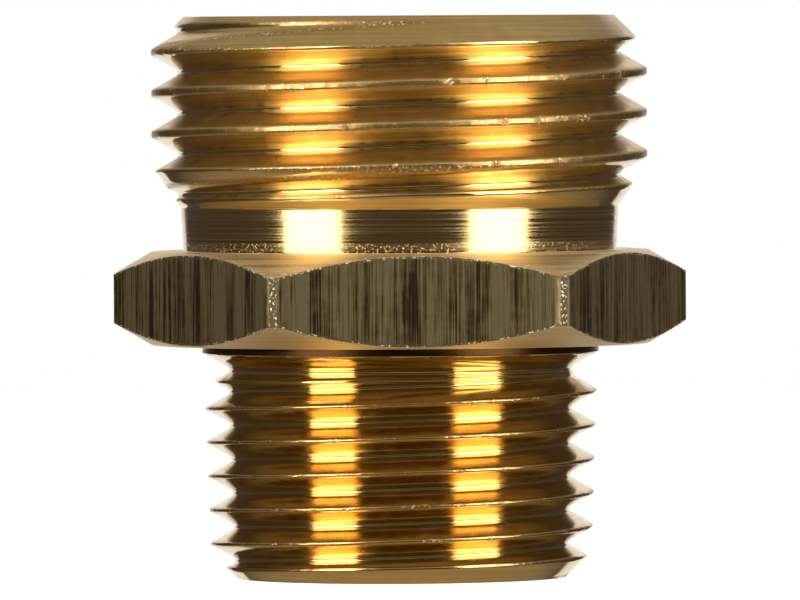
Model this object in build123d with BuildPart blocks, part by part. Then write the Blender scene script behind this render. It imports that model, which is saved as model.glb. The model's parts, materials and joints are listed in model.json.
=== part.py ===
from build123d import *
import os
from math import atan, cos, degrees, radians, tan

# Reducing hex nipple, turned in one piece from hexagonal brass bar. Millimetres.
# The axis is Z, with the taper pipe thread's end face at Z = 0 and the hose thread at the top.
# Two of the hexagon's flats face +Y and -Y, so two of its corners lie on X.

# Hexagon
across_flats = 27.0
corner_skim = 0.208  # turned off each sharp corner of the bar
hex_height = 5.0
hex_chamfer_angle = 30.0
hex_face_inset = 0.17  # from the flats in to the circle where the chamfer starts

# Straight hose thread, 11.5 threads per inch
hose_end_length = 12.6  # from the hexagon to the end face
hose_pitch = 25.4 / 11.5
hose_crest_diameter = 26.65
hose_crest_flat = 0.30
hose_root_radius = 0.20
hose_end_chamfer = 1.79
hose_groove_offset = 1.866  # from the hexagon up to the groove's middle on the +X side

# Neck and thread run-out, between the hose thread and the hexagon
neck_height = 2.35
neck_relief = 0.13  # how far the top of the neck lies inside the thread's root
neck_taper = 0.26  # how much smaller the neck's diameter is at the hexagon
run_out_angle = 35.0  # from the axis

# Taper pipe thread, 14 threads per inch, 1 in 16 on diameter
pipe_end_length = 12.55  # from the hexagon to the end face
pipe_pitch = 25.4 / 14
pipe_taper = 1 / 16
pipe_crest_diameter = 20.44  # where the cone through the crests meets the end face
pipe_crest_flat = 0.10
pipe_root_radius = 0.18
pipe_end_chamfer = 1.36
pipe_groove_offset = 1.867  # from the end face up to the groove's middle on the +X side

# Collar and annular groove, between the pipe thread and the hexagon
collar_overhang = 0.07  # how far the collar stands outside the cone through the crests
annular_groove_offset = 1.38  # from the hexagon down to the groove's middle
annular_groove_relief = 0.065  # how much deeper it is than the pipe thread
annular_root_radius = 0.20

# Waterway
pipe_wall = 1.965  # from the thread's root at the end face in to the bore
hose_wall = 3.122  # from the thread's root in to the bore
hose_bore_depth = 13.0
drill_point_angle = 118.0
mouth_chamfer = 0.4

thread_angle = 60.0
clear = 0.6  # how far a cutter stands outside the metal that it cuts
flank_overrun = 0.04  # how far a groove's flanks run on past the crest
spare_turns = 2  # of groove cut in the longer blank, beyond each free end

hex_bottom = pipe_end_length
hex_top = hex_bottom + hex_height
hex_middle = hex_bottom + hex_height / 2
overall_height = hex_top + hose_end_length
flank_rise = tan(radians(thread_angle / 2))  # axial rise of a flank for each unit of depth
hose_crest = hose_crest_diameter / 2
pipe_slope = pipe_taper / 2
annular_middle = hex_bottom - annular_groove_offset


def pipe_crest_at(height):
    return pipe_crest_diameter / 2 + pipe_slope * height


def groove_depth(pitch, crest_flat, root_radius):
    return (pitch - crest_flat) / 2 / flank_rise - root_radius


def thread_groove(crest, crest_flat, pitch, root_radius, bottom, top, slope=0.0):
    # cutter for a right-hand groove whose middle starts on +X at one height and climbs to another
    half_width = (pitch - crest_flat) / 2
    lip = half_width + flank_overrun * flank_rise
    cone_angle = degrees(atan(slope))
    with BuildPart() as cutter:
        with BuildLine():
            Helix(
                pitch=pitch / cos(radians(cone_angle)),
                height=top - bottom,
                radius=crest,
                center=(0, 0, bottom),
                cone_angle=cone_angle,
            )
        with BuildSketch(Plane.XZ) as section:
            with BuildLine():
                Polyline(
                    (crest - half_width / flank_rise, bottom),
                    (crest + flank_overrun, bottom + lip),
                    (crest + clear, bottom + lip),
                    (crest + clear, bottom - lip),
                    (crest + flank_overrun, bottom - lip),
                    close=True,
                )
            make_face()
            fillet(section.vertices().sort_by(Axis.X)[0], radius=root_radius)
        sweep(is_frenet=True)
    return cutter.part


# Hose end. The groove is cut along a blank that is too long at both ends, which is then turned to
# its end chamfer, run-out and neck.
hose_groove_bottom = hex_top + hose_groove_offset - hose_pitch
hose_groove_top = overall_height + spare_turns * hose_pitch
neck_top = hex_top + neck_height
hose_root = hose_crest - groove_depth(hose_pitch, hose_crest_flat, hose_root_radius)
neck_top_radius = hose_root - neck_relief
neck_foot_radius = neck_top_radius - neck_taper / 2
run_out_top = neck_top + (hose_crest - neck_top_radius) / tan(radians(run_out_angle))
with BuildPart() as hose_end:
    with BuildSketch(Plane.XY.offset(hex_bottom)):
        Circle(hose_crest)
    extrude(amount=hose_groove_top + spare_turns * hose_pitch - hex_bottom)
    add(
        thread_groove(
            crest=hose_crest,
            crest_flat=hose_crest_flat,
            pitch=hose_pitch,
            root_radius=hose_root_radius,
            bottom=hose_groove_bottom,
            top=hose_groove_top,
        ),
        mode=Mode.SUBTRACT,
    )
    with BuildSketch(Plane.XZ):
        with BuildLine():
            Polyline(
                (0, hex_middle),
                (neck_foot_radius, hex_middle),
                (neck_foot_radius, hex_top),
                (neck_top_radius, neck_top),
                (hose_crest, run_out_top),
                (hose_crest + clear, run_out_top),
                (hose_crest + clear, overall_height - hose_end_chamfer - clear),
                (hose_crest - hose_end_chamfer, overall_height),
                (0, overall_height),
                close=True,
            )
        make_face()
    revolve(axis=Axis.Z, mode=Mode.INTERSECT)

# Pipe end, cut the same way, with the collar and the annular groove that its thread runs out into
pipe_groove_bottom = pipe_groove_offset - spare_turns * pipe_pitch
pipe_blank_bottom = pipe_groove_bottom - spare_turns * pipe_pitch
pipe_depth = groove_depth(pipe_pitch, pipe_crest_flat, pipe_root_radius)
with BuildPart() as pipe_end:
    with BuildSketch(Plane.XZ):
        with BuildLine():
            Polyline(
                (0, pipe_blank_bottom),
                (pipe_crest_at(pipe_blank_bottom), pipe_blank_bottom),
                (pipe_crest_at(hex_middle), hex_middle),
                (0, hex_middle),
                close=True,
            )
        make_face()
    revolve(axis=Axis.Z)
    add(
        thread_groove(
            crest=pipe_crest_at(pipe_groove_bottom),
            crest_flat=pipe_crest_flat,
            pitch=pipe_pitch,
            root_radius=pipe_root_radius,
            bottom=pipe_groove_bottom,
            top=annular_middle,
            slope=pipe_slope,
        ),
        mode=Mode.SUBTRACT,
    )
    with BuildSketch(Plane.XZ):
        with BuildLine():
            Polyline(
                (0, 0),
                (pipe_crest_at(0) - pipe_end_chamfer, 0),
                (pipe_crest_at(0) + clear, pipe_end_chamfer + clear),
                (pipe_crest_at(0) + clear, hex_middle),
                (0, hex_middle),
                close=True,
            )
        make_face()
    revolve(axis=Axis.Z, mode=Mode.INTERSECT)

    collar_blank_bottom = annular_middle + pipe_pitch / 2
    collar_radius = pipe_crest_at(annular_middle) + collar_overhang
    with BuildSketch(Plane.XY.offset(collar_blank_bottom)):
        Circle(collar_radius)
    extrude(amount=hex_middle - collar_blank_bottom)

    annular_depth = pipe_depth + annular_groove_relief
    annular_sharp = pipe_crest_at(annular_middle) - annular_depth - annular_root_radius
    annular_mouth = collar_radius + clear
    annular_reach = (annular_mouth - annular_sharp) * flank_rise
    with BuildSketch(Plane.XZ) as annular_groove:
        with BuildLine():
            Polyline(
                (annular_sharp, annular_middle),
                (annular_mouth, annular_middle + annular_reach),
                (annular_mouth, annular_middle - annular_reach),
                close=True,
            )
        make_face()
        fillet(annular_groove.vertices().sort_by(Axis.X)[0], radius=annular_root_radius)
    revolve(axis=Axis.Z, mode=Mode.SUBTRACT)

with BuildPart() as nipple_body:
    # hexagon, skimmed at its corners and chamfered on both faces
    with BuildSketch(Plane.XY.offset(hex_bottom)):
        RegularPolygon(radius=across_flats / 2, side_count=6, major_radius=False)
    extrude(amount=hex_height)
    hex_face_radius = across_flats / 2 - hex_face_inset
    corner_radius = across_flats / 2 / cos(radians(30)) - corner_skim
    hex_chamfer = (corner_radius - hex_face_radius) * tan(radians(hex_chamfer_angle))
    with BuildSketch(Plane.XZ):
        with BuildLine():
            Polyline(
                (0, hex_bottom),
                (hex_face_radius, hex_bottom),
                (corner_radius, hex_bottom + hex_chamfer),
                (corner_radius, hex_top - hex_chamfer),
                (hex_face_radius, hex_top),
                (0, hex_top),
                close=True,
            )
        make_face()
    revolve(axis=Axis.Z, mode=Mode.INTERSECT)

    add(hose_end.part)
    add(pipe_end.part)

    # waterway, drilled from the hose end and broken at both mouths
    pipe_bore = pipe_crest_at(0) - pipe_depth - pipe_wall
    hose_bore = hose_root - hose_wall
    hose_bore_bottom = overall_height - hose_bore_depth
    drill_cone = (hose_bore - pipe_bore) / tan(radians(drill_point_angle / 2))
    with BuildSketch(Plane.XZ):
        with BuildLine():
            Polyline(
                (0, 0),
                (pipe_bore + mouth_chamfer, 0),
                (pipe_bore, mouth_chamfer),
                (pipe_bore, hose_bore_bottom - drill_cone),
                (hose_bore, hose_bore_bottom),
                (hose_bore, overall_height - mouth_chamfer),
                (hose_bore + mouth_chamfer, overall_height),
                (0, overall_height),
                close=True,
            )
        make_face()
    revolve(axis=Axis.Z, mode=Mode.SUBTRACT)

nipple_body.part.label = "nipple_body"
nipple_body.part.color = Color(0.72, 0.53, 0.20)

os.makedirs("parts", exist_ok=True)
export_step(nipple_body.part, "parts/nipple_body.step")
print("volume", round(nipple_body.part.volume, 1), "size", nipple_body.part.bounding_box().size)
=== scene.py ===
import json
from math import cos, pi, radians, sin, tan

import bpy
import numpy as np
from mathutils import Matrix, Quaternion, Vector


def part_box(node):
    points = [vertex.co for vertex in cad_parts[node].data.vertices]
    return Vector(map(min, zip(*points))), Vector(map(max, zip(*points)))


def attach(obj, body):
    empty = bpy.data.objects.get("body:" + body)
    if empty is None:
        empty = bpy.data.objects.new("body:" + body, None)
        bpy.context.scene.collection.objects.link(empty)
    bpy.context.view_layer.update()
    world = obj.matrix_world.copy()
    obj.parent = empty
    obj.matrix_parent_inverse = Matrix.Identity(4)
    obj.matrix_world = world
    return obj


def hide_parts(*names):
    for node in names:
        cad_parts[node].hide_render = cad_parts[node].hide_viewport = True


# Brass hex nipple: a garden hose thread above a wrench hexagon and a taper pipe thread below.
# Sizes in the dictionaries are millimetres unless they say otherwise. Z is the thread axis.

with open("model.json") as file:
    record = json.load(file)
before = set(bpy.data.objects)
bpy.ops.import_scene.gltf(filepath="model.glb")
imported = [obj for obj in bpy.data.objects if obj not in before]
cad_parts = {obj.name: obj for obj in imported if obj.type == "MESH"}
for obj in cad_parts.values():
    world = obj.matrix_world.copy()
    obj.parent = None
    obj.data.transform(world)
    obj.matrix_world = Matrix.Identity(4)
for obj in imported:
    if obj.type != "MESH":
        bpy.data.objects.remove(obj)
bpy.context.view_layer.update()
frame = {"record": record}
bodyLow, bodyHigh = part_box("nipple_body")
mounts = {m["name"]: m for m in frame["record"]["mounts"]}
mm = 0.001
print("frame loaded, part is", [round(x / mm, 2) for x in bodyHigh - bodyLow], "mm")


def hexColour(code):
    # sRGB hex to the linear RGBA that sockets take
    parts = [int(code[i : i + 2], 16) / 255 for i in (1, 3, 5)]
    return [p / 12.92 if p <= 0.04045 else ((p + 0.055) / 1.055) ** 2.4 for p in parts] + [1.0]


def addNode(tree, kind, settings=None, inputs=None):
    # a node, its own settings, and for each input either a value or another node's output
    node = tree.nodes.new(kind)
    for name, value in (settings or {}).items():
        setattr(node, name, value)
    for name, value in (inputs or {}).items():
        if isinstance(value, bpy.types.NodeSocket):
            tree.links.new(value, node.inputs[name])
        else:
            node.inputs[name].default_value = value
    return node


nipple = {
    "columns": 600,
    "acrossFlats": 27.0,
    "acrossCorners": 30.76,
    "hexBottom": 12.55,
    "hexTop": 17.55,
    "hexFace": 26.66,  # diameter where the hexagon's chamfers start
    "hexChamferAngle": 30.0,
    "neckFoot": 23.22,
    "neckTop": 23.48,
    "neckHeight": 2.35,
    "runOutAngle": 35.0,
    "collar": 21.28,
    "collarBackTaper": 0.03,  # how much smaller the collar's radius is at the hexagon
    "annularMiddle": 11.17,
    "annularSharp": 8.999,  # radius where the annular groove's flanks would meet
    "annularRoot": 0.20,
    "mouthChamfer": 0.4,
    "drillPointAngle": 118.0,
    "softEdge": 0.03,  # rounding where a thread meets a cone
    "annularEdge": 0.015,  # rounding at the lips of the annular groove
    "cornerEdge": 0.05,  # rounding where a flat meets a skimmed corner
    "skimFrom": 0.02,  # a corner counts as skimmed once this much is off it
    "skimOver": 0.05,  # and wholly so this much deeper
    "endBevel": 0.03,
    "collarBevel": 0.04,
    "neckRows": 9,
    "neckBurr": 0.8,  # torn metal at the foot of the neck
    "neckBurrFade": 1.4,  # and how fast it dies out up the neck
    "burrWidth": 0.22,  # how far the burrs at the hexagon's edges reach
    "seamHeight": 8.0,  # where the skin closes on itself, down in the waterway
    "seamBand": 2.0,
    # how far each edge is rounded back on both sides
    "edgeRound": 0.05,
    "endRimRound": 0.03,
    "stepRound": 0.1,
    "collarFootRound": 0.02,
    "collarTopRound": 0.04,
    "hexFaceRound": 0.06,
    "hexEdgeRound": 0.05,
    "neckFootRound": 0.08,
}

hoseThread = {
    "pitch": 25.4 / 11.5,
    "crest": 13.325,
    "slope": 0.0,
    "crestFlat": 0.30,
    "rootRadius": 0.20,
    "middle": 19.416,  # height of the groove's middle on the +X side
    "lastMiddle": 100.0,  # past the top, so the groove runs right off the end
    "endChamfer": 1.79,
    "crestEdge": 0.10,  # rounding at the corners of the crest
    "nickDepth": 0.075,
    "lean": 0.05,  # how far a crest is pushed up or down
    "ridgeWidth": 0.14,  # reach of the ragged edge where a cone cuts the thread
    "ridgeNick": 0.05,
    # where the rows of vertices lie across half a pitch, from the root to the crest
    "rows": (0, 0.045, 0.09, 0.15, 0.21, 0.27, 0.33, 0.39, 0.435, 0.465, 0.5),
    "seed": 11,
    "finish": "hoseThread",
}

pipeThread = {
    "pitch": 25.4 / 14,
    "crest": 10.22,
    "slope": 1 / 32,
    "crestFlat": 0.10,
    "rootRadius": 0.18,
    "middle": 1.867,
    "lastMiddle": 11.17,  # the groove stops in the annular groove
    "endChamfer": 1.36,
    "crestEdge": 0.07,
    "nickDepth": 0.06,
    "lean": 0.04,
    "ridgeWidth": 0.16,
    "ridgeNick": 0.06,
    "rows": (0, 0.045, 0.09, 0.15, 0.21, 0.27, 0.34, 0.40, 0.445, 0.475, 0.5),
    "seed": 23,
    "finish": "pipeThread",
}

# How the threading tool left the crests. Grains are sizes of noise, and shares are how much each one counts.
crestWear = {
    "fineGrain": 0.32,
    "fineShare": 0.35,
    "coarseGrain": 1.1,
    "coarseShare": 0.30,
    "slowGrain": 5.0,  # some stretches of a crest are worse than others
    "tornGrain": 0.6,
    "tornShare": 0.9,
    "tornFrom": 0.62,  # noise above this is torn metal
    "tornOver": 0.3,  # and wholly torn this much higher
    "leanGrain": 0.45,
    "leanLeast": 0.4,
    "nickGrain": 0.35,
    "reach": 0.30,  # how far below a crest the metal still counts as near it
    "cutAway": 0.12,  # where a cone takes off more than this, the crest and its wear are gone
    "untornBurr": 0.5,
    "ridgeBurr": 0.9,
}

columns = nipple["columns"]
phi = np.arange(columns) * (2 * pi / columns)
flankAngle = radians(30)  # from level, on each side of a 60 degree groove
flankRise = tan(flankAngle)
tiny = 1e-6
overallHeight = (bodyHigh.z - bodyLow.z) / mm


def softMin(a, b, width):
    h = np.clip(0.5 + 0.5 * (b - a) / width, 0, 1)
    return b * (1 - h) + a * h - width * h * (1 - h)


def valueNoise(x, y, z, size, seed):
    # smooth noise from 0 to 1 on a lattice of the given size, its values picked from a table by hashing
    table = np.random.default_rng(seed).random(8192)
    hashes = (73856093, 19349663, 83492791)
    p = np.stack([x, y, z]) / size
    base = np.floor(p).astype(np.int64)
    f = p - base
    f = f * f * (3 - 2 * f)
    total = 0.0
    for dx in (0, 1):
        for dy in (0, 1):
            for dz in (0, 1):
                spread = [(base[i] + d) * hashes[i] for i, d in enumerate((dx, dy, dz))]
                near = [f[i] if d else 1 - f[i] for i, d in enumerate((dx, dy, dz))]
                key = spread[0] ^ spread[1] ^ spread[2]
                total = total + near[0] * near[1] * near[2] * table[key % len(table)]
    return total


def grooveProfile(away, sharp, root):
    # radius at a distance from the groove's middle: straight flanks that would meet at sharp, a rounded root
    flank = sharp + away / flankRise
    rounded = sharp + 2 * root - np.sqrt(np.maximum(root**2 - away**2, 0))
    return np.where(away < root * cos(flankAngle), rounded, flank)


def threadSurface(angle, height, thread):
    # radius, how far a point is lifted along the axis, and how near it is to a crest
    pitch, wear = thread["pitch"], crestWear
    turns = (height - thread["middle"]) / pitch - angle / (2 * pi)
    nearest = np.round(turns)
    last = np.floor((thread["lastMiddle"] - thread["middle"]) / pitch - angle / (2 * pi))
    nearest = np.minimum(nearest, last)
    offset = (turns - nearest) * pitch
    crest = thread["crest"] + thread["slope"] * height
    halfWidth = (pitch - thread["crestFlat"]) / 2
    groove = grooveProfile(np.abs(offset), crest - halfWidth / flankRise, thread["rootRadius"])

    crestHeight = height - offset + np.sign(offset) * pitch / 2
    x, y = crest * np.cos(angle), crest * np.sin(angle)
    seed = thread["seed"]
    fine = valueNoise(x, y, crestHeight, wear["fineGrain"], seed)
    coarse = valueNoise(x, y, crestHeight, wear["coarseGrain"], seed + 1)
    slow = valueNoise(x, y, crestHeight, wear["slowGrain"], seed + 2)
    tears = valueNoise(x, y, crestHeight, wear["tornGrain"], seed + 3)
    torn = np.clip((tears - wear["tornFrom"]) / wear["tornOver"], 0, 1)
    ragged = wear["fineShare"] * fine + wear["coarseShare"] * coarse + wear["tornShare"] * torn * slow
    worn = crest - thread["nickDepth"] * ragged
    near = np.clip(1 - (crest - groove) / wear["reach"], 0, 1)
    leaning = valueNoise(x, y, crestHeight, wear["leanGrain"], seed + 4) - 0.5
    lift = thread["lean"] * near * leaning * (wear["leanLeast"] + slow)
    burr = near * (wear["untornBurr"] + (1 - wear["untornBurr"]) * torn)
    return softMin(groove, worn, thread["crestEdge"]), lift, burr


def tornRidge(radius, cutter, angle, height, thread):
    # a cone that cuts across the thread leaves a ragged ridge: how near a point is to it, and its nicks
    nearness = np.clip(1 - np.abs(radius - cutter) / thread["ridgeWidth"], 0, 1)
    x, y = thread["crest"] * np.cos(angle), thread["crest"] * np.sin(angle)
    nicks = valueNoise(x, y, height, crestWear["nickGrain"], thread["seed"] + 5)
    return nearness, nearness * thread["ridgeNick"] * nicks


def hoseSurface(angle, height):
    radius, lift, near = threadSurface(angle, height, hoseThread)
    neckRadius = nipple["neckTop"] / 2
    neckTop = nipple["hexTop"] + nipple["neckHeight"]
    runOut = neckRadius + np.maximum(height - neckTop, 0) * tan(radians(nipple["runOutAngle"]))
    chamfer = hoseThread["crest"] - hoseThread["endChamfer"] + (overallHeight - height)
    cut = softMin(softMin(radius, runOut, nipple["softEdge"]), chamfer, nipple["softEdge"])
    atEnd = (height <= neckTop + tiny) | (height >= overallHeight - nipple["endBevel"] - tiny)
    plain = np.minimum(runOut, chamfer)
    kept = cut > radius - crestWear["cutAway"]
    ridge, nick = tornRidge(radius, plain, angle, height, hoseThread)
    burr = np.maximum(near * kept, crestWear["ridgeBurr"] * ridge)
    return np.where(atEnd, plain, cut - nick), np.where(atEnd, 0, lift * kept), burr


def pipeSurface(angle, height):
    radius, lift, near = threadSurface(angle, height, pipeThread)
    chamfer = pipeThread["crest"] - pipeThread["endChamfer"] + height
    away = np.abs(height - nipple["annularMiddle"])
    annular = grooveProfile(away, nipple["annularSharp"], nipple["annularRoot"])
    above = height > nipple["annularMiddle"] + pipeThread["pitch"] / 2
    radius = np.where(above, nipple["collar"] / 2, radius)
    cut = softMin(softMin(radius, chamfer, nipple["softEdge"]), annular, nipple["annularEdge"])
    atEnd = (height <= nipple["endBevel"] + tiny) | above
    plain = np.minimum(np.minimum(chamfer, annular), nipple["collar"] / 2)
    kept = cut > radius - crestWear["cutAway"]
    ridge, nick = tornRidge(radius, chamfer, angle, height, pipeThread)
    burr = np.maximum(near * kept, crestWear["ridgeBurr"] * ridge)
    return np.where(atEnd, plain, cut - nick), np.where(atEnd, 0, lift * kept), burr


# The mesh is one closed skin: rings of vertices from the pipe end's bore out over the end face, up the
# outside and down the waterway to where it began. In the threads its rows climb with the groove.
points, burrs = [], []
corners, slots, cornerU, cornerV = [], [], [], []
finishOrder = ("hoseThread", "turned", "drawnBar", "drilled", "pipeThread", "faced", "collar")
finishes = {name: i for i, name in enumerate(finishOrder)}


def addPoints(radius, angle, height, near):
    start = sum(len(p) for p in points)
    points.append(np.stack([radius * np.cos(angle), radius * np.sin(angle), height], 1))
    burrs.append(np.broadcast_to(near, radius.shape).copy())
    return start + np.arange(len(radius))


def addFaces(quads, u, v, slot):
    corners.append(quads)
    cornerU.append(u)
    cornerV.append(v)
    slots.append(np.broadcast_to(slot, len(quads)).copy())


def joinRings(lower, upper, vLower, vUpper, slot):
    right = np.roll(np.arange(columns), -1)
    j = np.arange(columns)
    quads = np.stack([lower, lower[right], upper[right], upper], 1)
    u = np.stack([j, j + 1, j + 1, j], 1) / columns
    v = np.stack([np.full(columns, w) for w in (vLower, vLower, vUpper, vUpper)], 1)
    addFaces(quads, u, v, slot)


def roundedChain(chain, steps=3, mostOfRun=0.45):
    # rows of (radius, height, burr) along a chain of corners, each an (r, z, rounding, burr). A rounding
    # never takes more than its share of the shorter run beside it, and with none a corner is one row.
    def place(corner):
        burr = corner[3] if len(corner) > 3 else 0.0
        return np.stack([np.broadcast_to(value, columns) for value in (corner[0], corner[1], burr)], 1)

    places = [place(corner) for corner in chain]
    rows, kinds = [places[0]], []
    for i in range(1, len(chain) - 1):
        if not chain[i][2]:
            rows.append(places[i])
            kinds.append(i)
            continue
        before, here, after = places[i - 1] - places[i], places[i], places[i + 1] - places[i]
        longBefore = np.linalg.norm(before[:, :2], axis=1, keepdims=True)
        longAfter = np.linalg.norm(after[:, :2], axis=1, keepdims=True)
        back = np.minimum(chain[i][2], mostOfRun * np.minimum(longBefore, longAfter))
        p0, p2 = here + before / longBefore * back, here + after / longAfter * back
        for s in np.linspace(0, 1, steps + 1):
            rows.append((1 - s) ** 2 * p0 + 2 * s * (1 - s) * here + s**2 * p2)
            kinds.append(i - 1 if s < 0.5 else i)
    rows.append(places[-1])
    return rows, kinds + [len(chain) - 2]


def addChain(ring, distance, chain, finish):
    # finish: one for each run between corners, the last of them going on to the end
    rows, kinds = roundedChain(chain)
    for row, previous, kind in zip(rows[1:], rows[:-1], [0] + kinds):
        step = float(np.linalg.norm((row - previous)[:, :2], axis=1).mean())
        upper = addPoints(row[:, 0], phi, row[:, 1], row[:, 2])
        joinRings(ring, upper, distance, distance + step, finish[min(kind, len(finish) - 1)])
        ring, distance = upper, distance + step
    return ring, distance


def addThread(ring, distance, low, high, surface, thread):
    # rows that climb with the groove, cut off at a level ring below and above
    shares = np.array(thread["rows"] + tuple(1 - s for s in thread["rows"][-2:0:-1]))
    perTurn, pitch = len(shares), thread["pitch"]
    first = int(np.floor((low - thread["middle"]) / pitch)) - 2
    final = int(np.ceil((high - thread["middle"]) / pitch)) + 1
    count = (final - first) * perTurn
    rowHeight = thread["middle"] + pitch * (first + np.arange(count + perTurn) // perTurn)
    rowHeight = rowHeight + pitch * np.tile(shares, final - first + 1)
    height = rowHeight[:, None] + pitch * (np.arange(columns + 1) / columns)[None, :]
    ids = np.full(height.shape, -1, np.int64)
    snap = 0.015  # a row nearer than this to a level ring joins it
    inside = (height > low + snap) & (height < high - snap)
    body = inside[:, :columns]
    angle = np.broadcast_to(phi[None, :], body.shape)[body]
    level = height[:, :columns][body]
    radius, lift, near = surface(angle, level)
    stretch = 1.9  # a thread's surface is about this much longer than its height
    ids[:, :columns][body] = addPoints(radius, angle, level + lift, near)
    topRadius, _, _ = surface(phi, np.full(columns, high))
    topDistance = distance + (high - low) * stretch
    top = addPoints(topRadius, phi, np.full(columns, high), 0.0)
    ringEnd, topEnd = np.append(ring, ring[0]), np.append(top, top[0])
    ids[:-perTurn, columns] = ids[perTurn:, 0]
    below, above = height <= low + snap, height >= high - snap
    ids = np.where(below, ringEnd[None, :], np.where(above, topEnd[None, :], ids))
    flat = np.clip(height, low, high)
    a, b = ids[:-1, :-1], ids[:-1, 1:]
    d, c = ids[1:, :-1], ids[1:, 1:]
    rows = slice(0, count - 1)
    quads = np.stack([a, b, c, d], 2)[rows].reshape(-1, 4)
    j = np.broadcast_to(np.arange(columns)[None, :], a.shape)[rows].reshape(-1)
    u = np.stack([j, j + 1, j + 1, j], 1) / columns
    v = np.stack([flat[:-1, :-1], flat[:-1, 1:], flat[1:, 1:], flat[1:, :-1]], 2)[rows].reshape(-1, 4)
    real = ~((quads[:, 0] == quads[:, 3]) & (quads[:, 1] == quads[:, 2]))
    addFaces(quads[real], u[real], distance + (v[real] - low) * stretch, finishes[thread["finish"]])
    return top, topDistance


pipeBore = mounts["pipe_waterway"]["dims"]["r_mm"]
hoseBore = mounts["hose_waterway"]["dims"]["r_mm"]
mouth, edgeRound = nipple["mouthChamfer"], nipple["edgeRound"]
bevel, seamHeight, seamBand = nipple["endBevel"], nipple["seamHeight"], nipple["seamBand"]
boreStep = overallHeight - mouth - mounts["hose_waterway"]["dims"]["length_mm"]
drillCone = (hoseBore - pipeBore) / tan(radians(nipple["drillPointAngle"] / 2))
turned, drilled, drawn = finishes["turned"], finishes["drilled"], finishes["drawnBar"]
faced, collar = finishes["faced"], finishes["collar"]

firstRing = addPoints(np.full(columns, pipeBore), phi, np.full(columns, seamHeight), 0.0)
pipeRim = pipeThread["crest"] - pipeThread["endChamfer"]
ring, distance = addChain(
    firstRing,
    0.0,
    [(pipeBore, seamHeight, 0),
     (pipeBore, mouth, edgeRound),
     (pipeBore + mouth, 0, edgeRound),
     (pipeRim, 0, edgeRound),
     (pipeRim + bevel, bevel, 0)],
    [drilled, turned, turned, turned],
)
collarRadius = nipple["collar"] / 2
collarFoot = nipple["annularMiddle"] + (collarRadius - nipple["annularSharp"]) * flankRise
ring, distance = addThread(ring, distance, bevel, collarFoot, pipeSurface, pipeThread)

# the hexagon's own radius at each column: six flats, with the corners skimmed
sector = (phi + pi / 2 + pi / 6) % (pi / 3) - pi / 6
flatRadius = nipple["acrossFlats"] / 2 / np.cos(sector)
hexRadius = softMin(flatRadius, np.full(columns, nipple["acrossCorners"] / 2), nipple["cornerEdge"])
skimmed = np.clip((flatRadius - hexRadius - nipple["skimFrom"]) / nipple["skimOver"], 0, 1)
hexFace, hexFaceRound, hexEdgeRound = nipple["hexFace"] / 2, nipple["hexFaceRound"], nipple["hexEdgeRound"]
chamferRise = (hexRadius - hexFace) * tan(radians(nipple["hexChamferAngle"]))
hexBottom, hexTop, burrWidth = nipple["hexBottom"], nipple["hexTop"], nipple["burrWidth"]
lowerEdge, upperEdge = hexBottom + chamferRise, hexTop - chamferRise

neckTop = hexTop + nipple["neckHeight"]
neckFootRadius, neckTopRadius = nipple["neckFoot"] / 2, nipple["neckTop"] / 2
neck = []
for i in range(1, nipple["neckRows"] + 1):
    share = i / (nipple["neckRows"] + 1)
    neckRadius = neckFootRadius + share * (neckTopRadius - neckFootRadius)
    neckBurr = max(0, nipple["neckBurr"] - nipple["neckBurrFade"] * share)
    neck.append((neckRadius, hexTop + share * nipple["neckHeight"], 0, neckBurr))
neck.append((neckTopRadius - 0.001, neckTop - 0.02, 0))  # keeps the neck straight up to its last ring
neck.append((neckTopRadius, neckTop, 0))

ring, distance = addChain(
    ring,
    distance,
    [(collarRadius, collarFoot, 0),
     (collarRadius, collarFoot + nipple["collarBevel"], nipple["collarFootRound"]),
     (collarRadius - nipple["collarBackTaper"], hexBottom, nipple["collarTopRound"]),
     (hexFace, hexBottom, hexFaceRound),
     (hexRadius, lowerEdge, hexEdgeRound, 1),
     (hexRadius, lowerEdge + burrWidth, 0, skimmed),
     (hexRadius, upperEdge - burrWidth, 0, skimmed),
     (hexRadius, upperEdge, hexEdgeRound, 1),
     (hexFace, hexTop, hexFaceRound),
     (neckFootRadius, hexTop, nipple["neckFootRound"], nipple["neckBurr"])] + neck,
    [collar, collar, faced, faced, drawn, drawn, drawn, faced, faced, turned],
)
ring, distance = addThread(ring, distance, neckTop, overallHeight - bevel, hoseSurface, hoseThread)
hoseRim = hoseThread["crest"] - hoseThread["endChamfer"]
ring, distance = addChain(
    ring,
    distance,
    [(hoseRim + bevel, overallHeight - bevel, 0),
     (hoseRim, overallHeight, nipple["endRimRound"]),
     (hoseBore + mouth, overallHeight, edgeRound),
     (hoseBore, overallHeight - mouth, edgeRound),
     (hoseBore, boreStep, nipple["stepRound"]),
     (pipeBore, boreStep - drillCone, nipple["stepRound"]),
     (pipeBore, seamHeight + seamBand, 0)],
    [turned, turned, turned, drilled, drilled, drilled],
)
joinRings(ring, firstRing, distance, distance + seamBand, drilled)
distance += seamBand

quads = np.concatenate(corners)
u, v, slotOf = np.concatenate(cornerU), np.concatenate(cornerV) / distance, np.concatenate(slots)
faces, mapU, mapV = [], [], []
for q, fu, fv in zip(quads.tolist(), u.tolist(), v.tolist()):
    kept = [i for i in range(4) if q[i] != q[i - 1]]
    faces.append([q[i] for i in kept])
    mapU += [fu[i] for i in kept]
    mapV += [fv[i] for i in kept]
places = np.concatenate(points) * mm
places[:, 0] += (bodyLow.x + bodyHigh.x) / 2
places[:, 1] += (bodyLow.y + bodyHigh.y) / 2
places[:, 2] += bodyLow.z

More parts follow.
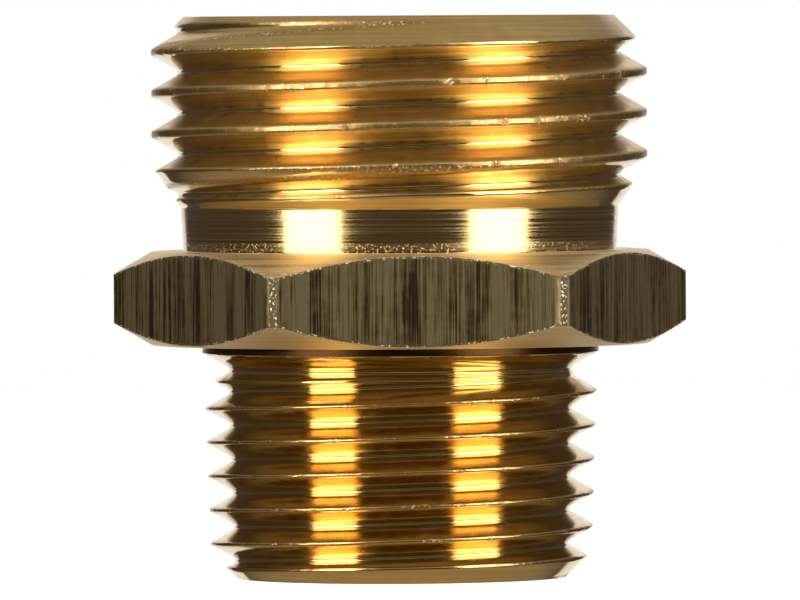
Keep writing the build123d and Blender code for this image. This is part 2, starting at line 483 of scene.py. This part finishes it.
mesh = bpy.data.meshes.new("nippleBody")
mesh.from_pydata(places.tolist(), [], faces)
mesh.polygons.foreach_set("material_index", slotOf.astype(np.int32))
mesh.polygons.foreach_set("use_smooth", np.ones(len(faces), bool))
bakeMap = mesh.uv_layers.new(name="OFBake")
bakeMap.uv.foreach_set("vector", np.stack([mapU, mapV], 1).ravel())
mesh.attributes.new("burr", "FLOAT", "POINT").data.foreach_set("value", np.concatenate(burrs))
mesh.update()
body = bpy.data.objects.new("nippleBody", mesh)
bpy.context.scene.collection.objects.link(body)
weighted = body.modifiers.new("evenNormals", "WEIGHTED_NORMAL")
weighted.mode = "FACE_AREA"
weighted.keep_sharp = False
print("body has", len(places), "vertices and", len(faces), "faces")


def newMaterial(name):
    material = bpy.data.materials.new(name)
    material.use_nodes = True
    material.node_tree.nodes.clear()
    return material, material.node_tree


def turnedCoordinates(tree, lineWidth, drift):
    # radius and height counted in lines, with a slow drift across the part so that no ring is perfect
    where = addNode(tree, "ShaderNodeTexCoord")
    split = addNode(tree, "ShaderNodeSeparateXYZ", inputs={0: where.outputs["Object"]})
    level = addNode(tree, "ShaderNodeCombineXYZ", inputs={"X": split.outputs["X"], "Y": split.outputs["Y"]})
    radius = addNode(tree, "ShaderNodeVectorMath", {"operation": "LENGTH"}, {0: level.outputs[0]})
    across = addNode(
        tree, "ShaderNodeCombineXYZ", inputs={"X": radius.outputs["Value"], "Y": split.outputs["Z"]}
    )
    lines = addNode(
        tree, "ShaderNodeVectorMath", {"operation": "SCALE"},
        {0: across.outputs[0], "Scale": 1 / (2 * lineWidth * mm)},
    )
    slow = addNode(
        tree, "ShaderNodeVectorMath", {"operation": "SCALE"}, {0: where.outputs["Object"], "Scale": drift}
    )
    return addNode(tree, "ShaderNodeVectorMath", inputs={0: lines.outputs[0], 1: slow.outputs[0]}), where


def burrMask(tree, where, look):
    # the mesh's own measure of torn metal, and the bright grains that show only where it is high
    burr = addNode(tree, "ShaderNodeAttribute", {"attribute_name": "burr"})
    grain = addNode(
        tree, "ShaderNodeTexNoise",
        inputs={"Vector": where.outputs["Object"], "Scale": 1 / (look["grainSize"] * mm), "Detail": 2.0},
    )
    chosen = addNode(
        tree, "ShaderNodeMapRange",
        inputs={"Value": grain.outputs["Fac"], "From Min": finishRanges["grain"][0] - look["grainShare"],
                "From Max": finishRanges["grain"][1] - look["grainShare"]},
    )
    strong = addNode(
        tree, "ShaderNodeMapRange",
        inputs={"Value": burr.outputs["Fac"], "From Min": finishRanges["burr"][0],
                "From Max": finishRanges["burr"][1]},
    )
    grains = addNode(
        tree, "ShaderNodeMath", {"operation": "MULTIPLY"},
        {0: strong.outputs["Result"], 1: chosen.outputs["Result"]},
    )
    return burr.outputs["Fac"], grains.outputs[0]


def turnedLines(tree, coordinates, look):
    # the tool's fine rings, and the tone that they give between the finish's dark and light
    lines = addNode(
        tree, "ShaderNodeTexNoise",
        inputs={"Vector": coordinates.outputs[0], "Scale": 1.0, "Detail": 4.0, "Roughness": 0.7},
    )
    streaks = addNode(
        tree, "ShaderNodeMapRange",
        inputs={"Value": lines.outputs["Fac"], "From Min": finishRanges["streaks"][0],
                "From Max": finishRanges["streaks"][1]},
    )
    tone = addNode(
        tree, "ShaderNodeMix", {"data_type": "RGBA"},
        {"Factor": streaks.outputs["Result"], "A": hexColour(look["dark"]), "B": hexColour(look["light"])},
    )
    return lines.outputs["Fac"], tone.outputs["Result"]


def finishBrass(tree, look, tone, grains, relief, roughness):
    # what every finish ends in: pale grains of torn metal, their relief on top of the tool's, and the brass
    tornTone = addNode(
        tree, "ShaderNodeMix", {"data_type": "RGBA"},
        {"Factor": grains, "A": tone, "B": hexColour(look["burr"])},
    )
    reliefBump = addNode(
        tree, "ShaderNodeBump",
        inputs={"Height": relief, "Strength": 1.0, "Distance": look["bumpDepth"] * mm},
    )
    bump = addNode(
        tree, "ShaderNodeBump",
        inputs={"Height": grains, "Strength": 1.0, "Distance": look["burrDepth"] * mm,
                "Normal": reliefBump.outputs["Normal"]},
    )
    shader = addNode(
        tree, "ShaderNodeBsdfPrincipled",
        inputs={"Base Color": tornTone.outputs["Result"], "Metallic": 1.0, "Roughness": roughness,
                "Normal": bump.outputs["Normal"]},
    )
    addNode(tree, "ShaderNodeOutputMaterial", inputs={"Surface": shader.outputs[0]})


print("making finishes")

# Parts of a pattern's or an attribute's range that the finishes spread from nothing to full
finishRanges = {
    "streaks": (0.28, 0.72),
    "lineRoughness": (0.35, 0.65),
    "patches": (0.3, 0.7),
    "scores": (0.3, 0.7),
    "grain": (0.75, 0.80),  # each finish takes its own share off these
    "burr": (0.42, 0.8),
    "facingUp": (-0.1, 0.7),  # from a flank that looks down to one that looks up
}

# Free-cutting brass, finish turned: fine rings round the axis that draw a highlight out in streaks
turnedBrass = {
    "dark": "#B8965A",
    "light": "#EDCE92",
    "burr": "#FFF3D0",
    "lineWidth": 0.05,
    "drift": 40,  # how many lines a ring would wander across in a metre
    "roughness": (0.07, 0.26),
    "bumpDepth": 0.0025,
    "grainSize": 0.13,
    "grainShare": 0.15,
    "burrDepth": 0.02,
}

# The same brass where the turning tool faced the hexagon: a satin grain that stays evenly bright
facedBrass = {
    "dark": "#DCBA80",
    "light": "#FAE4B4",
    "burr": "#FFF3D0",
    "lineWidth": 0.07,
    "drift": 90,
    "roughness": (0.38, 0.52),
    "bumpDepth": 0.006,
    "grainSize": 0.13,
    "grainShare": 0.15,
    "burrDepth": 0.012,
}

# The collar's rim: its dark bronze-brown is painted shade and painted reflection, standing in for the shadow
# and dark mirror image it sits in under the hexagon
shadedCollarBrass = {
    "dark": "#2A1A0E",
    "light": "#5C4022",
    "burr": "#B08A50",
    "lineWidth": 0.06,
    "drift": 60,
    "roughness": (0.24, 0.36),
    "bumpDepth": 0.004,
    "grainSize": 0.13,
    "grainShare": 0.15,
    "burrDepth": 0.006,
}

# Drilled bore: coarser rings than the turning, and duller
drilledBrass = {
    "dark": "#B4935A",
    "light": "#E2C588",
    "burr": "#E2C588",
    "lineWidth": 0.12,
    "drift": 200,
    "roughness": (0.28, 0.45),
    "bumpDepth": 0.008,
    "grainSize": 0.13,
    "grainShare": 0.15,
    "burrDepth": 0.0,
}


def ringFinish(name, look):
    material, tree = newMaterial(name)
    coordinates, where = turnedCoordinates(tree, look["lineWidth"], look["drift"])
    lines, tone = turnedLines(tree, coordinates, look)
    rough = addNode(
        tree, "ShaderNodeMapRange",
        inputs={"Value": lines, "From Min": finishRanges["lineRoughness"][0],
                "From Max": finishRanges["lineRoughness"][1],
                "To Min": look["roughness"][0], "To Max": look["roughness"][1]},
    )
    grains = burrMask(tree, where, look)[1]
    finishBrass(tree, look, tone, grains, lines, rough.outputs["Result"])
    return material


# The same brass cut by a threading tool: rich and deep where light bounces in the groove, torn and pale at
# the crests
hoseThreadBrass = {
    "dark": "#C8A25E",
    "light": "#EFD192",
    "crestTone": "#A67A38",
    "burr": "#FFF0CC",
    "lineWidth": 0.06,
    "drift": 120,
    "lowerFlank": 0.08,  # roughness where the flank looks down, which the tool cut clean
    "upperFlank": 0.32,  # and where it looks up, which the tool tore a little
    "crestRoughness": 0.56,
    "mottle": 0.05,  # how much the roughness changes from patch to patch
    "patchSize": 5 / 6,
    "bumpDepth": 0.0028,
    "grainSize": 0.16,
    "grainShare": 0.20,
    "burrDepth": 0.006,
}

pipeThreadBrass = {
    "dark": "#C69F5A",
    "light": "#EDCF90",
    "crestTone": "#A67C3A",
    "burr": "#FFF0CC",
    "lineWidth": 0.05,
    "drift": 120,
    "lowerFlank": 0.09,
    "upperFlank": 0.16,
    "crestRoughness": 0.38,
    "mottle": 0.04,
    "patchSize": 5 / 6,
    "bumpDepth": 0.0012,
    "grainSize": 0.16,
    "grainShare": 0.20,
    "burrDepth": 0.004,
}


def threadFinish(name, look):
    material, tree = newMaterial(name)
    coordinates, where = turnedCoordinates(tree, look["lineWidth"], look["drift"])
    lines, tone = turnedLines(tree, coordinates, look)
    burr, grains = burrMask(tree, where, look)
    crestTone = addNode(
        tree, "ShaderNodeMix", {"data_type": "RGBA"},
        {"Factor": burr, "A": tone, "B": hexColour(look["crestTone"])},
    )
    facing = addNode(tree, "ShaderNodeSeparateXYZ", inputs={0: where.outputs["Normal"]})
    flank = addNode(
        tree, "ShaderNodeMapRange",
        inputs={"Value": facing.outputs["Z"], "From Min": finishRanges["facingUp"][0],
                "From Max": finishRanges["facingUp"][1],
                "To Min": look["lowerFlank"], "To Max": look["upperFlank"]},
    )
    patches = addNode(
        tree, "ShaderNodeTexNoise",
        inputs={"Vector": where.outputs["Object"], "Scale": 1 / (look["patchSize"] * mm), "Detail": 5.0},
    )
    mottled = addNode(
        tree, "ShaderNodeMapRange",
        inputs={"Value": patches.outputs["Fac"], "From Min": finishRanges["patches"][0],
                "From Max": finishRanges["patches"][1],
                "To Min": -look["mottle"], "To Max": look["mottle"]},
    )
    flankRough = addNode(
        tree, "ShaderNodeMath", {"operation": "ADD"},
        {0: flank.outputs["Result"], 1: mottled.outputs["Result"]},
    )
    rough = addNode(
        tree, "ShaderNodeMix", {"data_type": "FLOAT"},
        {"Factor": burr, "A": flankRough.outputs[0], "B": look["crestRoughness"]},
    )
    finishBrass(tree, look, crestTone.outputs["Result"], grains, lines, rough.outputs["Result"])
    return material


# Hexagon bar as drawn through the die: dull and brown, with scored lines that run the way the bar was pulled
drawnBarBrass = {
    "dark": "#423422",
    "middle": "#87734C",
    "light": "#B8A378",
    "frontReflection": "#DCDFDC",  # painted reflection: multiplies the tone on the front and back flats, greyer and darker as if they mirrored the dim room
    "corner": "#6A5C3F",  # the skimmed corners between the burrs
    "burr": "#FFF6D8",
    "toneStops": (0.40, 0.52, 0.65),  # how scored the metal is where it is dark, middling and light
    "reflectionTo": 0.3,  # how far sideways a flat faces where the painted reflection is whole
    "reflectionFrom": 0.6,  # and where the painted reflection begins
    "scoreWidth": 0.05,
    "scoreLength": 3.125,
    "scoreShare": 0.9,
    "bandWidth": 0.55,
    "bandLength": 25 / 3,
    "bandShare": 0.9,
    "blotchSize": 0.625,
    "blotchShare": 0.2,
    "shareOffset": -0.45,  # brings the sum of the three back to the middle
    "roughness": (0.42, 0.60),
    "cornerRoughness": 0.62,
    "bumpDepth": 0.012,
    "grainSize": 0.14,
    "grainShare": 0.18,
    "burrDepth": 0.03,
}

drawnMaterial, tree = newMaterial("drawnBarBrass")
where = addNode(tree, "ShaderNodeTexCoord")


def alongBar(width, length):
    across, along = 1 / (2 * width * mm), 1 / (2 * length * mm)
    way = addNode(
        tree, "ShaderNodeVectorMath", {"operation": "MULTIPLY"},
        {0: where.outputs["Object"], 1: (across, across, along)},
    )
    return addNode(
        tree, "ShaderNodeTexNoise",
        inputs={"Vector": way.outputs[0], "Scale": 1.0, "Detail": 3.0, "Roughness": 0.6},
    )


scores = alongBar(drawnBarBrass["scoreWidth"], drawnBarBrass["scoreLength"])
bands = alongBar(drawnBarBrass["bandWidth"], drawnBarBrass["bandLength"])
blotches = addNode(
    tree, "ShaderNodeTexNoise",
    inputs={"Vector": where.outputs["Object"], "Scale": 1 / (drawnBarBrass["blotchSize"] * mm),
            "Detail": 4.0},
)
banded = addNode(
    tree, "ShaderNodeMath", {"operation": "MULTIPLY_ADD"},
    {0: bands.outputs["Fac"], 1: drawnBarBrass["bandShare"], 2: drawnBarBrass["shareOffset"]},
)
blotched = addNode(
    tree, "ShaderNodeMath", {"operation": "MULTIPLY_ADD"},
    {0: blotches.outputs["Fac"], 1: drawnBarBrass["blotchShare"], 2: banded.outputs[0]},
)
scored = addNode(
    tree, "ShaderNodeMath", {"operation": "MULTIPLY_ADD"},
    {0: scores.outputs["Fac"], 1: drawnBarBrass["scoreShare"], 2: blotched.outputs[0]},
)
tone = addNode(tree, "ShaderNodeValToRGB", inputs={"Fac": scored.outputs[0]})
stops = tone.color_ramp.elements
stops.new(drawnBarBrass["toneStops"][1])
for stop, position, name in zip(stops, drawnBarBrass["toneStops"], ("dark", "middle", "light")):
    stop.position, stop.color = position, hexColour(drawnBarBrass[name])
facing = addNode(tree, "ShaderNodeSeparateXYZ", inputs={0: where.outputs["Normal"]})
sideways = addNode(tree, "ShaderNodeMath", {"operation": "ABSOLUTE"}, {0: facing.outputs["X"]})
# painted reflection: the flats that face front and back take a greyer, darker tone, standing in for the dim
# room they mirror
paintedReflection = addNode(
    tree, "ShaderNodeMapRange",
    inputs={"Value": sideways.outputs[0], "From Min": drawnBarBrass["reflectionFrom"],
            "From Max": drawnBarBrass["reflectionTo"]},
)
reflectedFlatTone = addNode(
    tree, "ShaderNodeMix", {"data_type": "RGBA", "blend_type": "MULTIPLY"},
    {"Factor": paintedReflection.outputs["Result"], "A": tone.outputs["Color"], "B": hexColour(drawnBarBrass["frontReflection"])},
)
burr, grains = burrMask(tree, where, drawnBarBrass)
cornerTone = addNode(
    tree, "ShaderNodeMix", {"data_type": "RGBA"},
    {"Factor": burr, "A": reflectedFlatTone.outputs["Result"], "B": hexColour(drawnBarBrass["corner"])},
)
flatRough = addNode(
    tree, "ShaderNodeMapRange",
    inputs={"Value": scored.outputs[0], "From Min": finishRanges["scores"][0],
            "From Max": finishRanges["scores"][1],
            "To Min": drawnBarBrass["roughness"][1], "To Max": drawnBarBrass["roughness"][0]},
)
barRough = addNode(
    tree, "ShaderNodeMix", {"data_type": "FLOAT"},
    {"Factor": burr, "A": flatRough.outputs["Result"], "B": drawnBarBrass["cornerRoughness"]},
)
finishBrass(
    tree, drawnBarBrass, cornerTone.outputs["Result"], grains, scored.outputs[0], barRough.outputs["Result"]
)

slotMaterials = {
    "hoseThread": threadFinish("hoseThreadBrass", hoseThreadBrass),
    "turned": ringFinish("turnedBrass", turnedBrass),
    "drawnBar": drawnMaterial,
    "drilled": ringFinish("drilledBrass", drilledBrass),
    "pipeThread": threadFinish("pipeThreadBrass", pipeThreadBrass),
    "faced": ringFinish("facedBrass", facedBrass),
    # the collar's dark brown is painted shade from under the hexagon
    "collar": ringFinish("shadedCollarBrass", shadedCollarBrass),
}
for name in finishOrder:
    body.data.materials.append(slotMaterials[name])

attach(body, "root")
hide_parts("nipple_body")

print("setting up the studio")

studio = {
    "azimuth": -4.15,
    "distance": 700.0,
    "eyeHeight": 30.0,
    "aimHeight": 14.88,
    "aimRight": -0.01,
    "lens": 587.0,
    "roll": -0.3,  # degrees, so the part leans a little
    "strips": ((-47.3, 31.4, 4.9), (53.5, 33.0, 4.9)),  # azimuth and width in degrees, brightness
    "stripDistance": 600.0,
    "stripBottom": -170.0,
    "stripTop": 700.0,
    "floorRadius": 350.0,
    "backdropWidth": 44.0,  # degrees, as the part sees it
    "backdropDistance": 900.0,
    "backdropBottom": -600.0,
    "backdropTop": 900.0,
    "paper": "#F4F4F2",
    "paperRoughness": 0.9,
    "paperGlow": 0.75,
    "floorSpokes": 96,
    # the room's light from straight below, 0, to straight above, 1, in linear colours
    "room": (
        (0.0, (0.40, 0.33, 0.25)),
        (0.17, (0.32, 0.28, 0.23)),
        (0.32, (0.074, 0.063, 0.058)),
        (0.66, (0.074, 0.063, 0.058)),
        (0.82, (0.36, 0.345, 0.32)),
        (1.0, (0.37, 0.335, 0.30)),
    ),
}

scene = bpy.context.scene
scene.view_settings.view_transform = "Standard"
middle = Vector(((bodyLow.x + bodyHigh.x) / 2, (bodyLow.y + bodyHigh.y) / 2, bodyLow.z))


def around(azimuth, distance, height):
    a = radians(azimuth)
    return middle + Vector((sin(a) * distance, -cos(a) * distance, height)) * mm


def aim(thing, target):
    thing.rotation_mode = "QUATERNION"
    thing.rotation_quaternion = (target - thing.location).to_track_quat("-Z", "Y")


cameraData = bpy.data.cameras.new("camera")
cameraData.lens, cameraData.sensor_width = studio["lens"], 36.0
cameraData.clip_start, cameraData.clip_end = 0.01, 20.0
camera = bpy.data.objects.new("camera", cameraData)
scene.collection.objects.link(camera)
camera.location = around(studio["azimuth"], studio["distance"], studio["eyeHeight"])
toRight = Vector((cos(radians(studio["azimuth"])), sin(radians(studio["azimuth"])), 0))
aim(camera, middle + Vector((0, 0, studio["aimHeight"])) * mm + toRight * studio["aimRight"] * mm)
camera.rotation_quaternion = camera.rotation_quaternion @ Quaternion((0, 0, 1), radians(studio["roll"]))
scene.camera = camera

for name, (azimuth, width, brightness) in zip(("leftStrip", "rightStrip"), studio["strips"]):
    light = bpy.data.lights.new(name, "AREA")
    light.shape = "RECTANGLE"
    light.size = 2 * studio["stripDistance"] * mm * tan(radians(width / 2))
    light.size_y = (studio["stripTop"] - studio["stripBottom"]) * mm
    light.energy = brightness * pi * light.size * light.size_y
    lamp = bpy.data.objects.new(name, light)
    scene.collection.objects.link(lamp)
    centreHeight = (studio["stripTop"] + studio["stripBottom"]) / 2
    lamp.location = around(studio["azimuth"] + azimuth, studio["stripDistance"], centreHeight)
    aim(lamp, middle + Vector((0, 0, centreHeight * mm)))
    lamp.visible_camera = False

# Matt white paper, glowing enough to keep its own shadows faint
paper, tree = newMaterial("whitePaper")
shader = addNode(
    tree, "ShaderNodeBsdfPrincipled",
    inputs={"Base Color": hexColour(studio["paper"]), "Roughness": studio["paperRoughness"],
            "Emission Color": hexColour("#FFFFFF"), "Emission Strength": studio["paperGlow"]},
)
addNode(tree, "ShaderNodeOutputMaterial", inputs={"Surface": shader.outputs[0]})

floorMesh = bpy.data.meshes.new("floor")
spokes = studio["floorSpokes"]
rim = [around(360 * i / spokes, studio["floorRadius"], 0) for i in range(spokes)]
floorMesh.from_pydata([tuple(p) for p in rim], [], [list(range(spokes))])
floorMesh.materials.append(paper)
floor = bpy.data.objects.new("floor", floorMesh)
scene.collection.objects.link(floor)
floor.visible_glossy = False

backMesh = bpy.data.meshes.new("backdrop")
half = studio["backdropWidth"] / 2
behind = studio["azimuth"] + 180
reach = studio["backdropDistance"] / cos(radians(half))
heights = (studio["backdropBottom"], studio["backdropTop"])
backCorners = [around(behind + side * half, reach, height) for height in heights for side in (-1, 1)]
backMesh.from_pydata([tuple(p) for p in backCorners], [], [[0, 1, 3, 2]])
glow, tree = newMaterial("backdropGlow")
shader = addNode(tree, "ShaderNodeEmission", inputs={"Color": hexColour("#FFFFFF"), "Strength": 1.0})
addNode(tree, "ShaderNodeOutputMaterial", inputs={"Surface": shader.outputs[0]})
backMesh.materials.append(glow)
backdrop = bpy.data.objects.new("backdrop", backMesh)
scene.collection.objects.link(backdrop)

world = bpy.data.worlds.new("room")
world.use_nodes = True
scene.world = world
tree = world.node_tree
tree.nodes.clear()
where = addNode(tree, "ShaderNodeTexCoord")
split = addNode(tree, "ShaderNodeSeparateXYZ", inputs={0: where.outputs["Generated"]})
level = addNode(
    tree, "ShaderNodeMapRange", inputs={"Value": split.outputs["Z"], "From Min": -1.0, "From Max": 1.0}
)
room = addNode(tree, "ShaderNodeValToRGB", inputs={"Fac": level.outputs["Result"]})
stops = room.color_ramp.elements
for position, colour in studio["room"][1:-1]:
    stops.new(position)
for stop, (position, colour) in zip(stops, studio["room"]):
    stop.position, stop.color = position, (*colour, 1)
dim = addNode(tree, "ShaderNodeBackground", inputs={"Color": room.outputs["Color"], "Strength": 1.0})
white = addNode(tree, "ShaderNodeBackground", inputs={"Color": (1, 1, 1, 1), "Strength": 1.0})
path = addNode(tree, "ShaderNodeLightPath")
shown = addNode(
    tree, "ShaderNodeMixShader",
    inputs={0: path.outputs["Is Camera Ray"], 1: dim.outputs[0], 2: white.outputs[0]},
)
addNode(tree, "ShaderNodeOutputWorld", inputs={"Surface": shown.outputs[0]})
